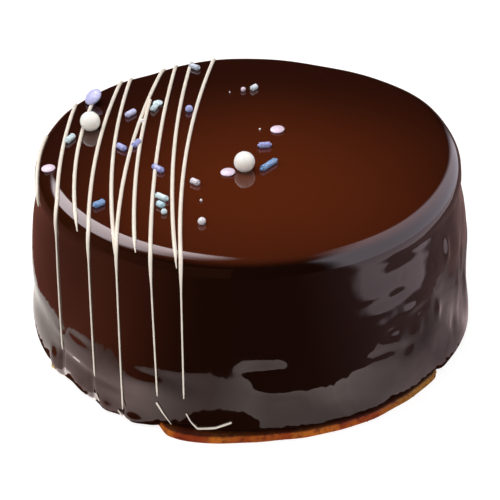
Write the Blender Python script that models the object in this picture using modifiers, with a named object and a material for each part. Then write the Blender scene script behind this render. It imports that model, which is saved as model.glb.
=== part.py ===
"""A round chocolate mousse cake under a poured mirror glaze, on a thin biscuit base.

White chocolate threads run from back to front over its left half, and pearls, rods and confetti are scattered on top.
Metres, +Z up. The origin is the middle of the base's underside, and the front of the cake faces -Y.
"""

import math
import random

import bmesh
import bpy
from mathutils import Matrix, Vector

MM = 0.001

# Driving dimensions
CAKE_HEIGHT = 64 * MM
TOP_RADIUS = 72.6 * MM
MIDDLE_RADIUS = 75.6 * MM
FOOT_RADIUS = 76.4 * MM
EDGE_ROUND = 8 * MM
EDGE_POWER = 2.5
LIP_HEIGHT = 3.3 * MM
LIP_TUCK = 2.7 * MM
BISCUIT_THICKNESS = 2.8 * MM
BISCUIT_RADIUS = 74.2 * MM
BISCUIT_CHAMFER = 0.5 * MM
GAP = 0.3 * MM
PEARL_RADIUS = 3.5 * MM
PEARL_SINK = 0.5 * MM
ROD_RADIUS = 1.05 * MM
ROD_END_ROUND = 0.47 * MM
CONFETTI_THICKNESS = 1.3 * MM
WELD = 0.01 * MM

# How finely the turned body is cut, with the steps drawn together by this share towards the front
TURN_STEPS = 112
CROWD = 0.3
EDGE_STEPS = 6
WALL_LEVELS = [51.5, 47, 42.5, 38, 33.5, 29, 25, 21, 17, 13.5, 10.5, 8, 6, 4.5]

# Azimuths are degrees round the cake, 0 at the right-hand side (+X) and -90 at the front.
# Between the first two the glaze stops short and the biscuit shows, and it peeks out once more further left.
BARE_RIM_FROM, BARE_RIM_TO = -113, -35
BARE_RIM_LEDGE = 3.4 * MM
BARE_RIM_BULGE = (-104, 9, 2.2)
PEEK = (-151.5, 2.4)
SKIRT_BOTTOM = 1.0 * MM
SKIRT_FADE = 9 * MM
RIM_SHOULDER = 6

# How far the cake is out of round: azimuth, half-width in degrees and millimetres outwards
OUT_OF_ROUND = [(30, 13, 1.3), (66, 11, -1.2), (98, 9, 0.7), (121, 8, -1.6), (153, 9, 0.7), (-50, 16, 0.7)]

# Swells and hollows of the glaze: azimuth, height, half-width round, half-height and rise, in degrees and millimetres
SWELLS = [
    (182, 53, 26, 7, -1.2),
    (182, 31, 20, 8, 0.4),
    (-172, 7, 28, 6, 1.3),
    (-157, 17, 12, 5, -0.4),
    (-163, 27, 10, 8, 0.5),
    (-149.5, 5, 4.5, 3.5, 1.3),
    (-138, 11, 16, 2, -0.5),
    (-138, 5.5, 5.5, 2.8, 0.3),
    (-127.5, 3.8, 4.5, 2.8, 1.0),
    (-120, 3, 4.5, 2.6, 1.8),
    (-118, 18, 11, 5, 0.4),
    (-104, 20, 8, 4, -0.3),
    (-84, 17, 8, 4, 0.6),
    (-92, 6, 12, 3.5, -0.4),
    (-64, 14, 13, 5, -0.5),
    (-55, 34, 10, 7, 0.4),
    (-47, 49, 13, 8, -0.6),
    (-41, 19, 8, 6, 0.6),
    (-33, 31, 7, 9, -0.5),
    (-24, 43, 6, 11, 0.5),
    (-16, 24, 7, 8, -0.6),
    (-14, 5, 24, 7, 1.7),
    (-6, 33, 8, 10, 0.5),
    (-4, 53, 14, 7, -0.9),
]
BACK_SWELLS = 16
BACK_SEED = 7
BACK_FROM, BACK_TO = 15, 165

# White chocolate threads, from left to right. The run over the top is given by the place along (Y) where it starts,
# its places across (X) at the start, half-way and at the end, and the place along where it ends. Then follow the height
# it comes up from behind the cake, and the place across and the height where it stops on the front. None leaves one out.
THREAD_RADIUS = 1.0 * MM
THREAD_THIN = 0.6 * MM
THREAD_TIP = 0.35 * MM
THREAD_THINNING = 22 * MM
THREAD_LIFT = 0.15 * MM
THREAD_EDGE_STEP, THREAD_WALL_STEP = 2 * MM, 5.5 * MM
THREAD_STATIONS = [1, 0.95, 0.9, 0.82, 0.6, 0.3, 0, -0.3, -0.6, -0.82, -0.9, -0.95, -1]
THREADS = [
    ("a", 13, -69.4, -70.3, -68.8, -22.5, None, None),
    ("b", 31, -61.5, -63.2, -62.4, -31, 50, (-63.1, 13)),
    ("c", 41, -54.5, -57.9, -54.6, -44, 58, (-54, 61.4)),
    ("d", 51, -46, -51, -50.4, -47.5, 36, (-51.3, 11.5)),
    ("e", 54, -42.5, -45.7, -42.2, -54.5, 60, (-41.8, 60.5)),
    ("f", 62, -29.5, -38.6, -41.6, -55.5, 44, (-42, 4.5)),
    ("g", 35, -34.5, -36.9, -35.2, -59.5, None, (-34.9, 60)),
    ("h", 64, -25.8, -30.3, -30.3, -62, 30, (-30.4, 14)),
    ("i", 66, -20.3, -25.1, -22.7, -65.5, 61, (-22.4, 57.5)),
    ("j", 68, -11.8, -20.7, -21.6, -66, 48, (-22, 15)),
]
# Thread ends that curl on the foot of the wall: azimuth and height of each point
CURLS = [
    ("h_end", [(-113.5, 11), (-112, 7.5), (-110, 3.6)]),
    ("j_end", [(-106, 9), (-105, 6), (-103.4, 3.6), (-99, 4.6), (-95.3, 7.0)]),
    ("d_end", [(-131.8, 4.8), (-130.8, 2.8)]),
    ("f_end", [(-124.4, 3.0), (-123.4, 1.6)]),
]

# Sprinkles on the flat top: kind, place across and along, heading in degrees and length or width
SPRINKLES = [
    ("rod", -60.5, 7.0, 64, 5.2),
    ("rod", -40.8, 24.5, 49, 5.0),
    ("rod", -42.5, 0.2, -47, 4.2),
    ("rod", -38.0, 3.5, 72, 3.6),
    ("rod", -32.6, 28.5, 70, 4.2),
    ("rod", -19.0, 60.0, -38, 4.8),
    ("rod", -29.8, -14.2, -46, 4.8),
    ("rod", -27.6, -32.9, -40, 5.2),
    ("rod", -27.8, -37.4, -42, 3.0),
    ("rod", -47.4, -36.1, 40, 4.4),
    ("rod", -17.2, -23.8, -40, 3.6),
    ("rod", 2.8, 42.2, 50, 3.0),
    ("rod", 5.8, 0.2, 8, 4.8),
    ("rod", 6.9, -13.6, 55, 7.2),
    ("confetti", -66.0, -12.2, 0, 4.6),
    ("confetti", -31.6, 32.4, 0, 3.6),
    ("confetti", 10.4, 11.0, 0, 4.9),
    ("confetti", -6.6, -17.4, 0, 4.9),
    ("bead", -20.3, 26.5, 0, 2.2),
    ("bead", -26.6, -41.6, 30, 2.0),
    ("bead", -14.6, -48.0, 0, 2.6),
    ("bead", -1.1, 41.2, 0, 1.8),
    ("bead", -36.4, 18.8, 0, 1.6),
]
# A fat lentil leaning on the threads at the edge
LENTIL_PLACE = (-54.6, 34.2)
LENTIL_RADIUS = 3.2 * MM
LENTIL_THICKNESS = 2.8 * MM
LENTIL_LEAN = 36
LENTIL_HEADING = -59

# Pearls: place across and along
PEARLS = {"pearl_edge": (-54.1, 14.9), "pearl_centre": (-1.1, -15.3)}

# Looks: colour, roughness and metallic value
GLAZE = ("chocolate glaze", (0.040, 0.010, 0.004), 0.05, 0.0)
BISCUIT = ("baked biscuit", (0.42, 0.14, 0.03), 0.45, 0.0)
PEARL = ("sugar pearl", (0.86, 0.80, 0.72), 0.25, 0.3)


def smooth(t):
    """Eases from 0 to 1 as t goes from 0 to 1."""
    t = min(1.0, max(0.0, t))
    return t * t * (3 - 2 * t)


def bell(t):
    """A soft bump, 1 at t = 0 and almost 0 beyond t = 2."""
    return math.exp(-t * t)


def turned(azimuth, other):
    """The angle from other to azimuth, from -180 to 180 degrees."""
    return (azimuth - other + 180) % 360 - 180


def back_swells():
    """The swells of the far side, drawn once from a fixed seed."""
    draw = random.Random(BACK_SEED)
    return [
        (
            BACK_FROM + (BACK_TO - BACK_FROM) * (i + draw.random()) / BACK_SWELLS,
            draw.uniform(9, 48),
            draw.uniform(7, 13),
            draw.uniform(5, 10),
            draw.choice((-1, 1)) * draw.uniform(0.35, 0.8),
        )
        for i in range(BACK_SWELLS)
    ]


ALL_SWELLS = SWELLS + back_swells()


def out_of_round(azimuth):
    """How far the whole side stands out from a true circle, in metres."""
    return sum(depth * bell(turned(azimuth, centre) / wide) for centre, wide, depth in OUT_OF_ROUND) * MM


def relief(azimuth, height):
    """How far the set glaze swells out from the plain wall, in metres, at a height in millimetres."""
    arc = math.radians(1) * MIDDLE_RADIUS / MM
    rise = 0.0
    for centre, level, wide, tall, depth in ALL_SWELLS:
        rise += depth * bell(turned(azimuth, centre) * arc / wide) * bell((height - level) / tall)
    return rise * MM


def bare_rim(azimuth):
    """1 where the glaze stops short and the biscuit shows, 0 where the glaze runs down over it."""
    middle = (BARE_RIM_FROM + BARE_RIM_TO) / 2
    half = (BARE_RIM_TO - BARE_RIM_FROM) / 2
    front = smooth((half - abs(turned(azimuth, middle))) / RIM_SHOULDER + 0.5)
    return max(front, bell(turned(azimuth, PEEK[0]) / PEEK[1]))


def wall_radius(height):
    """The plain wall's radius: narrow under the rounded edge, widest low down."""
    z = (CAKE_HEIGHT - EDGE_ROUND, 0.42 * CAKE_HEIGHT, 0.0)
    r = (TOP_RADIUS, MIDDLE_RADIUS, FOOT_RADIUS)
    total = 0.0
    for i in range(3):
        term = r[i]
        for k in range(3):
            if k != i:
                term *= (height - z[k]) / (z[i] - z[k])
        total += term
    return total


def edge_point(t):
    """Radius and height on the rounded top edge, from the flat top at t = 0 to the wall at t = 1."""
    across = math.sin(t * math.pi / 2) ** (2 / EDGE_POWER)
    up = math.cos(t * math.pi / 2) ** (2 / EDGE_POWER)
    return TOP_RADIUS - EDGE_ROUND + EDGE_ROUND * across, CAKE_HEIGHT - EDGE_ROUND + EDGE_ROUND * up


def edge_share(height):
    """0 on the flat top, rising to 1 at the bottom of the rounded edge and below it."""
    return min(1.0, (CAKE_HEIGHT - height) / EDGE_ROUND)


def wall_point(azimuth, height):
    """A point on the finished glaze of the wall or the rounded edge, at a height in metres."""
    share = edge_share(height)
    radius = wall_radius(height)
    if share < 1:
        radius = TOP_RADIUS - EDGE_ROUND + EDGE_ROUND * (1 - (1 - share) ** EDGE_POWER) ** (1 / EDGE_POWER)
    radius += out_of_round(azimuth) + relief(azimuth, height / MM) * share
    a = math.radians(azimuth)
    return Vector((radius * math.cos(a), radius * math.sin(a), height))


def top_point(x, y):
    """A point on the finished glaze seen from above, on the flat top or high on the rounded edge."""
    azimuth = math.degrees(math.atan2(y, x))
    low, high = CAKE_HEIGHT - EDGE_ROUND, CAKE_HEIGHT
    for _ in range(30):
        middle = (low + high) / 2
        if wall_point(azimuth, middle).xy.length > math.hypot(x, y):
            low = middle
        else:
            high = middle
    return Vector((x, y, low))


def clear_scene():
    for thing in list(bpy.data.objects):
        bpy.data.objects.remove(thing)


def new_collection(name):
    collection = bpy.data.collections.new(name)
    bpy.context.scene.collection.children.link(collection)
    return collection


def material(name, colour, roughness, metallic):
    made = bpy.data.materials.new(name)
    made.use_nodes = True
    shader = made.node_tree.nodes["Principled BSDF"]
    shader.inputs["Base Color"].default_value = (*colour, 1)
    shader.inputs["Roughness"].default_value = roughness
    shader.inputs["Metallic"].default_value = metallic
    return made


def add_object(name, mesh, collection, finish=None):
    made = bpy.data.objects.new(name, mesh)
    collection.objects.link(made)
    if finish:
        mesh.materials.clear()
        mesh.materials.append(finish)
    return made


def settle(thing, collection, finish=None):
    """Replaces an object by a plain mesh of its evaluated shape, under the same name."""
    bpy.context.view_layer.update()
    graph = bpy.context.evaluated_depsgraph_get()
    mesh = bpy.data.meshes.new_from_object(thing.evaluated_get(graph))
    mesh.transform(thing.matrix_world)
    name = thing.name
    bpy.data.objects.remove(thing)
    tidy = bmesh.new()
    tidy.from_mesh(mesh)
    bmesh.ops.remove_doubles(tidy, verts=tidy.verts, dist=WELD)
    tidy.to_mesh(mesh)
    tidy.free()
    return add_object(name, mesh, collection, finish)


def turn(name, outline, steps, collection):
    """Turns an outline of (radius, height) points, given from the top down, about the Z axis."""
    mesh = bpy.data.meshes.new(name)
    edges = [(i, i + 1) for i in range(len(outline) - 1)]
    mesh.from_pydata([(radius, 0, height) for radius, height in outline], edges, [])
    made = add_object(name, mesh, collection)
    screw = made.modifiers.new("turn", "SCREW")
    screw.steps = screw.render_steps = steps
    screw.use_merge_vertices = True
    screw.merge_threshold = WELD
    screw.use_smooth_shade = True
    made = settle(made, collection)
    for vertex in made.data.vertices:
        azimuth = math.atan2(vertex.co.y, vertex.co.x)
        radius = math.hypot(vertex.co.x, vertex.co.y)
        azimuth -= CROWD * math.cos(azimuth)
        vertex.co.x = radius * math.cos(azimuth)
        vertex.co.y = radius * math.sin(azimuth)
    return made


def glaze_body(collection):
    """The cake's outer shape: flat top, rounded edge and a wall with the swells of the set glaze."""
    outline = [(0, CAKE_HEIGHT), (TOP_RADIUS - EDGE_ROUND, CAKE_HEIGHT)]
    outline += [edge_point(i / EDGE_STEPS) for i in range(1, EDGE_STEPS + 1)]
    outline += [(wall_radius(level * MM), level * MM) for level in WALL_LEVELS]
    tuck = LIP_HEIGHT - LIP_TUCK / 3
    outline += [(FOOT_RADIUS - LIP_TUCK / 9, LIP_HEIGHT), (FOOT_RADIUS - LIP_TUCK, tuck), (0, tuck)]
    body = turn("glaze_body", outline, TURN_STEPS, collection)
    for vertex in body.data.vertices:
        height = vertex.co.z
        radius = math.hypot(vertex.co.x, vertex.co.y)
        azimuth = math.degrees(math.atan2(vertex.co.y, vertex.co.x))
        if radius < TOP_RADIUS / 2:
            continue
        radius += out_of_round(azimuth) + relief(azimuth, height / MM) * edge_share(height)
        sag = (1 - bare_rim(azimuth)) * (LIP_HEIGHT - SKIRT_BOTTOM) * smooth(1 - (height - LIP_HEIGHT) / SKIRT_FADE)
        a = math.radians(azimuth)
        vertex.co = (radius * math.cos(a), radius * math.sin(a), height - sag)
    return body


def biscuit(name, grow, bottom, collection):
    """The thin base, crumbly at its edge. Grow and bottom make the same shape larger, to cut its seat."""
    top = BISCUIT_THICKNESS + grow
    edge = BISCUIT_RADIUS + grow
    outline = [(0, top), (edge - BISCUIT_CHAMFER, top), (edge, top - BISCUIT_CHAMFER)]
    outline += [(edge, bottom + BISCUIT_CHAMFER), (edge - BISCUIT_CHAMFER, bottom), (0, bottom)]
    base = turn(name, outline, TURN_STEPS, collection)
    centre, half, bulge = BARE_RIM_BULGE
    for vertex in base.data.vertices:
        radius = math.hypot(vertex.co.x, vertex.co.y)
        if radius < BISCUIT_RADIUS / 2:
            continue
        azimuth = math.atan2(vertex.co.y, vertex.co.x)
        crumb = 0.12 * math.sin(11 * azimuth) + 0.10 * math.sin(23 * azimuth + 1) + 0.08 * math.sin(37 * azimuth + 2)
        degrees = math.degrees(azimuth)
        ledge = BARE_RIM_LEDGE + bulge * MM * bell(turned(degrees, centre) / half)
        radius += crumb * MM + ledge * bare_rim(degrees)
        vertex.co.x = radius * math.cos(azimuth)
        vertex.co.y = radius * math.sin(azimuth)
    return base


def wall_run(start, x_end, height_end):
    """Points from a start on the rounded edge down the wall to a height, at a place across of x_end."""
    sign = 1 if start.y > 0 else -1
    heights = []
    height = start.z - THREAD_EDGE_STEP / 2
    while height > height_end:
        heights.append(height)
        height -= THREAD_EDGE_STEP if height > CAKE_HEIGHT - EDGE_ROUND else THREAD_WALL_STEP
    heights.append(height_end)
    points = []
    for height in heights:
        share = (start.z - height) / (start.z - height_end)
        x = start.x + (x_end - start.x) * share
        spot = wall_point(math.degrees(math.atan2(start.y, x)), height)
        for _ in range(6):
            y = sign * math.sqrt(spot.xy.length_squared - x * x)
            spot = wall_point(math.degrees(math.atan2(y, x)), height)
        points.append(spot)
    return points


def thread_path(y_back, x_back, x_middle, x_front, y_front, behind, stop):
    """Points of a thread: up the back wall, across the top on a gentle bow, and down the front wall."""
    middle, half = (y_back + y_front) / 2, (y_back - y_front) / 2
    bow = (x_back + x_front) / 2 - x_middle
    across = []
    for s in THREAD_STATIONS:
        x = x_middle + (x_back - x_front) / 2 * s + bow * s * s
        across.append(top_point(x * MM, (middle + half * s) * MM))
    before, after = [], []
    if behind:
        before = wall_run(across[0], x_back * MM, behind * MM)[::-1]
    if stop:
        after = wall_run(across[-1], stop[0] * MM, stop[1] * MM)
    return before + across + after


def tube(name, points, radii, collection):
    """A thread of white chocolate through the points, as a closed mesh."""
    curve = bpy.data.curves.new(name, "CURVE")
    curve.dimensions = "3D"
    curve.bevel_depth = 1.0
    curve.bevel_resolution = 1
    curve.use_fill_caps = True
    spline = curve.splines.new("POLY")
    spline.points.add(len(points) - 1)
    for spot, point, radius in zip(spline.points, points, radii):
        spot.co = (*point, 1)
        spot.radius = radius
    return settle(add_object(name, curve, collection), collection)


def lifted(points):
    """Moves points outwards a little, up on the top and sideways on the wall, so that the thread stands proud."""
    out = []
    for point in points:
        flat = Vector((point.x, point.y, 0)).normalized()
        wall = smooth((CAKE_HEIGHT - point.z) / EDGE_ROUND)
        out.append(point + (flat * wall + Vector((0, 0, 1)) * (1 - wall)) * THREAD_LIFT)
    return out


def threads(collection):
    for name, *places in THREADS:
        points = lifted(thread_path(*places))
        radii = []
        for point in points:
            down = smooth((CAKE_HEIGHT - point.z) / THREAD_THINNING)
            radii.append(THREAD_RADIUS + (THREAD_THIN - THREAD_RADIUS) * down)
        if places[-1] and places[-1][1] * MM > CAKE_HEIGHT - EDGE_ROUND:
            radii[-2:] = [(THREAD_RADIUS + THREAD_TIP) / 2, THREAD_TIP]
        tube("thread_" + name, points, radii, collection)
    for name, stations in CURLS:
        points = lifted([wall_point(azimuth, height * MM) for azimuth, height in stations])
        tube("curl_" + name, points, [THREAD_THIN] * len(points), collection)


def place(name, shape, where, heading, collection, lean=0):
    """Puts a bmesh shape on the cake at where, turned to its heading and leaning back."""
    mesh = bpy.data.meshes.new(name)
    shape.to_mesh(mesh)
    shape.free()
    made = add_object(name, mesh, collection)
    made.rotation_euler = (math.radians(lean), 0, math.radians(heading))
    made.location = where
    return settle(made, collection)


def rod(length):
    """A short rod lying along X, with its ends rounded off."""
    shape = bmesh.new()
    lying = Matrix.Rotation(math.radians(90), 4, "Y")
    bmesh.ops.create_cone(
        shape, cap_ends=True, segments=8, radius1=ROD_RADIUS, radius2=ROD_RADIUS, depth=length, matrix=lying
    )
    rims = [edge for edge in shape.edges if abs(edge.verts[0].co.x - edge.verts[1].co.x) < length / 2]
    bmesh.ops.bevel(shape, geom=rims, offset=ROD_END_ROUND, segments=1, affect="EDGES")
    return shape


def lentil(radius, thickness, around, up):
    shape = bmesh.new()
    bmesh.ops.create_uvsphere(shape, u_segments=around, v_segments=up, radius=radius)
    bmesh.ops.scale(shape, vec=(1, 1, thickness / (2 * radius)), verts=shape.verts)
    return shape


def bead(radius):
    shape = bmesh.new()
    bmesh.ops.create_icosphere(shape, subdivisions=1, radius=radius)
    return shape


def sprinkles(collection):
    """Lays every sprinkle on the glaze, sunk in by about a quarter."""
    for i, (kind, x, y, heading, size) in enumerate(SPRINKLES):
        size *= MM
        if kind == "rod":
            shape, rise = rod(size), ROD_RADIUS * 0.75
        elif kind == "confetti":
            shape, rise = lentil(size / 2, CONFETTI_THICKNESS, 10, 5), CONFETTI_THICKNESS * 0.35
        else:
            shape, rise = bead(size / 2), size * 0.35
        spot = top_point(x * MM, y * MM) + Vector((0, 0, rise))
        place(f"sprinkle_{i:02d}", shape, spot, heading, collection)
    x, y = LENTIL_PLACE
    spot = top_point(x * MM, y * MM) + Vector((0, 0, LENTIL_RADIUS * 0.72))
    shape = lentil(LENTIL_RADIUS, LENTIL_THICKNESS, 12, 6)
    place("lentil", shape, spot, LENTIL_HEADING, collection, lean=LENTIL_LEAN)


def pearl_spot(name):
    x, y = PEARLS[name]
    return Vector((x * MM, y * MM, CAKE_HEIGHT + PEARL_RADIUS - PEARL_SINK))


def ball(name, radius, centre, collection, finish=None):
    shape = bmesh.new()
    bmesh.ops.create_uvsphere(shape, u_segments=18, v_segments=10, radius=radius)
    mesh = bpy.data.meshes.new(name)
    shape.to_mesh(mesh)
    shape.free()
    made = add_object(name, mesh, collection, finish)
    made.location = centre
    mesh.shade_smooth()
    return made


def boolean(target, operation, collection):
    """Joins or cuts the target with everything in the collection, and applies it."""
    step = target.modifiers.new(operation.lower(), "BOOLEAN")
    step.operation = operation
    step.operand_type = "COLLECTION"
    step.collection = collection
    step.solver = "EXACT"


def keep_main_shell(thing):
    """Drops sealed hollows and loose scraps, which are shells of their own beside the largest one."""
    tidy = bmesh.new()
    tidy.from_mesh(thing.data)
    waiting, shells = set(tidy.faces), []
    while waiting:
        front = [waiting.pop()]
        shell = set(front)
        while front:
            face = front.pop()
            for edge in face.edges:
                for other in edge.link_faces:
                    if other in waiting:
                        waiting.remove(other)
                        shell.add(other)
                        front.append(other)
        shells.append(shell)
    shells.sort(key=len)
    for shell in shells[:-1]:
        bmesh.ops.delete(tidy, geom=list(shell), context="FACES")
    tidy.to_mesh(thing.data)
    tidy.free()


def empty_collection(collection):
    for thing in list(collection.objects):
        bpy.data.objects.remove(thing)
    bpy.data.collections.remove(collection)


def build():
    clear_scene()
    cake = new_collection("chocolate_cake")
    toppings = new_collection("toppings")
    cutters = new_collection("cutters")
    glaze = material(*GLAZE)
    baked = material(*BISCUIT)
    sugar = material(*PEARL)

    body = glaze_body(cake)
    threads(toppings)
    sprinkles(toppings)
    boolean(body, "UNION", toppings)
    body = settle(body, cake, glaze)
    keep_main_shell(body)
    empty_collection(toppings)

    biscuit("seat_cutter", GAP, -2 * MM, cutters)
    for name in PEARLS:
        ball(name + "_cutter", PEARL_RADIUS + GAP, pearl_spot(name), cutters)
    for cutter in cutters.objects:
        cutter.hide_render = True
        cutter.display_type = "WIRE"
    boolean(body, "DIFFERENCE", cutters)
    body = settle(body, cake, glaze)
    keep_main_shell(body)
    empty_collection(cutters)
    body.name = "glazed_cake"
    body.data.set_sharp_from_angle(angle=math.radians(35))

    base = biscuit("biscuit_base", 0, 0, cake)
    base.data.materials.append(baked)
    for name in PEARLS:
        ball(name, PEARL_RADIUS, pearl_spot(name), cake, sugar)


build()
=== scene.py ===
# %% [markdown]
# # A chocolate mousse cake under mirror glaze
# The real cake is frozen hard, set on a rack and flooded with warm chocolate glaze, which runs off the sides
# and sets like dark glass. White chocolate threads are flicked over it, and sugar sprinkles go on last. The
# CAD model gives the frame: every piece here is made in the same place and replaces the solid it stands for.

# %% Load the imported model
import math
import random

import bmesh
import bpy
import numpy as np
from mathutils import Matrix, Vector


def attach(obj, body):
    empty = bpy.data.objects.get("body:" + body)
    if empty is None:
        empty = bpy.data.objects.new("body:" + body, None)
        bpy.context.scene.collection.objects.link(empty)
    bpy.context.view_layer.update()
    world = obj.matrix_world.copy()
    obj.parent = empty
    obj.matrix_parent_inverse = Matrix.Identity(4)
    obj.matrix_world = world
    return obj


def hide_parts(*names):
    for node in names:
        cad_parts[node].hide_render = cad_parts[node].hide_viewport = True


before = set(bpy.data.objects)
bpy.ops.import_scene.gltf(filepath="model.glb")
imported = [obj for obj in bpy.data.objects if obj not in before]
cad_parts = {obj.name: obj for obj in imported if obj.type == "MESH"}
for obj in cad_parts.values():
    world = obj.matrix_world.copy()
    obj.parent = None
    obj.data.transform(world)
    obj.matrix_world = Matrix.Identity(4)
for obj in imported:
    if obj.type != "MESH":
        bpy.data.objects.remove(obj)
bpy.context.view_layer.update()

MM = 0.001
print("solids:", sorted(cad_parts))

# %% [markdown]
# ## The shape of the cake
# The cake is one turned form: a flat top, an edge rounded by the glaze, and a wall that widens towards its
# foot. It isn't quite round, and the glaze sets in low swells and hollows. The same rules as in the solid
# give a radius for every direction and height, so the finer skin made here lies on the solid. All sizes are
# in millimetres.

# %% Sizes of the cake
CAKE_HEIGHT = 64.0
TOP_RADIUS, MIDDLE_RADIUS, FOOT_RADIUS = 72.6, 75.6, 76.4
EDGE_ROUND, EDGE_POWER = 8.0, 2.5
LIP_HEIGHT, LIP_TUCK = 3.3, 2.7
SKIRT_BOTTOM, SKIRT_FADE = 1.0, 9.0
BISCUIT_THICKNESS, BISCUIT_RADIUS, GAP = 2.8, 74.2, 0.3
BARE_RIM_FROM, BARE_RIM_TO, RIM_SHOULDER = -113, -35, 6
BARE_RIM_LEDGE, BARE_RIM_BULGE = 3.4, (-104, 9, 2.2)  # the bulge has an azimuth, a half-width and a size
PEEK = (-151.5, 2.4)  # azimuth and half-width of the biscuit that peeks out on the left

# Azimuths are degrees round the cake: 0 is the right-hand side and -90 the front.
OUT_OF_ROUND = [(30, 13, 1.3), (66, 11, -1.2), (98, 9, 0.7), (121, 8, -1.6), (153, 9, 0.7), (-50, 16, 0.7)]

# azimuth, height, half-width round, half-height and rise of each swell or hollow
SWELLS = [
    (182, 53, 26, 7, -1.2), (182, 31, 20, 8, 0.4), (-172, 7, 28, 6, 1.3), (-157, 17, 12, 5, -0.4),
    (-163, 27, 10, 8, 0.5), (-149.5, 5, 4.5, 3.5, 1.3), (-138, 11, 16, 2, -0.5), (-138, 5.5, 5.5, 2.8, 0.3),
    (-127.5, 3.8, 4.5, 2.8, 1.0), (-120, 3, 4.5, 2.6, 1.8), (-118, 18, 11, 5, 0.4), (-104, 20, 8, 4, -0.3),
    (-84, 17, 8, 4, 0.6), (-92, 6, 12, 3.5, -0.4), (-64, 14, 13, 5, -0.5), (-55, 34, 10, 7, 0.4),
    (-47, 49, 13, 8, -0.6), (-41, 19, 8, 6, 0.6), (-33, 31, 7, 9, -0.5), (-24, 43, 6, 11, 0.5),
    (-16, 24, 7, 8, -0.6), (-14, 5, 24, 7, 1.7), (-6, 33, 8, 10, 0.5), (-4, 53, 14, 7, -0.9),
]
BACK_SWELLS, BACK_FROM, BACK_TO = 16, 15, 165
draw = random.Random(7)
for i in range(BACK_SWELLS):
    azimuth = BACK_FROM + (BACK_TO - BACK_FROM) * (i + draw.random()) / BACK_SWELLS
    SWELLS.append((azimuth, draw.uniform(9, 48), draw.uniform(7, 13), draw.uniform(5, 10),
                   draw.choice((-1, 1)) * draw.uniform(0.35, 0.8)))
print(len(SWELLS), "swells and hollows in the glaze")

# %% The rules that give the surface
ARC = math.radians(1) * MIDDLE_RADIUS  # one degree round the wall, in millimetres
WALL_CURVE = np.polyfit([CAKE_HEIGHT - EDGE_ROUND, 0.42 * CAKE_HEIGHT, 0],
                        [TOP_RADIUS, MIDDLE_RADIUS, FOOT_RADIUS], 2)


def bell(t):
    return np.exp(-t * t)


def smooth(t):
    t = np.clip(t, 0, 1)
    return t * t * (3 - 2 * t)


def turned(azimuth, other):
    """The angle from other to azimuth, between -180 and 180 degrees."""
    return (azimuth - other + 180) % 360 - 180


def out_of_round(azimuth):
    return sum(rise * bell(turned(azimuth, centre) / wide) for centre, wide, rise in OUT_OF_ROUND)


def relief(azimuth, height, features):
    """How far the glaze stands out at a place, from a list of swells and hollows."""
    return sum(rise * bell(turned(azimuth, centre) * ARC / wide) * bell((height - level) / tall)
               for centre, level, wide, tall, rise in features)


def side_radius(azimuth, height):
    """Radius of the glaze on the rounded edge and the wall."""
    share = np.clip((CAKE_HEIGHT - height) / EDGE_ROUND, 0, 1)
    edge = TOP_RADIUS - EDGE_ROUND + EDGE_ROUND * (1 - (1 - share) ** EDGE_POWER) ** (1 / EDGE_POWER)
    plain = np.where(share < 1, edge, np.polyval(WALL_CURVE, height))
    return plain + out_of_round(azimuth) + relief(azimuth, height, SWELLS) * share


def bare_rim(azimuth):
    """1 where the glaze stops short and the biscuit shows, 0 where it runs down over it."""
    middle, half = (BARE_RIM_FROM + BARE_RIM_TO) / 2, (BARE_RIM_TO - BARE_RIM_FROM) / 2
    front = smooth((half - abs(turned(azimuth, middle))) / RIM_SHOULDER + 0.5)
    return np.maximum(front, bell(turned(azimuth, PEEK[0]) / PEEK[1]))


def wall_point(azimuth, height):
    radius, a = side_radius(azimuth, height), math.radians(azimuth)
    return np.array([radius * math.cos(a), radius * math.sin(a), height])


def top_point(x, y):
    """A point of the glaze seen from above."""
    azimuth, reach = math.degrees(math.atan2(y, x)), math.hypot(x, y)
    low, high = CAKE_HEIGHT - EDGE_ROUND, CAKE_HEIGHT
    for _ in range(30):
        middle = (low + high) / 2
        low, high = (middle, high) if side_radius(azimuth, middle) > reach else (low, middle)
    return np.array([x, y, low])


print("radius at mid-height, front and right:", [round(float(side_radius(a, 32.0)), 1) for a in (-90, 0)])

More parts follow.
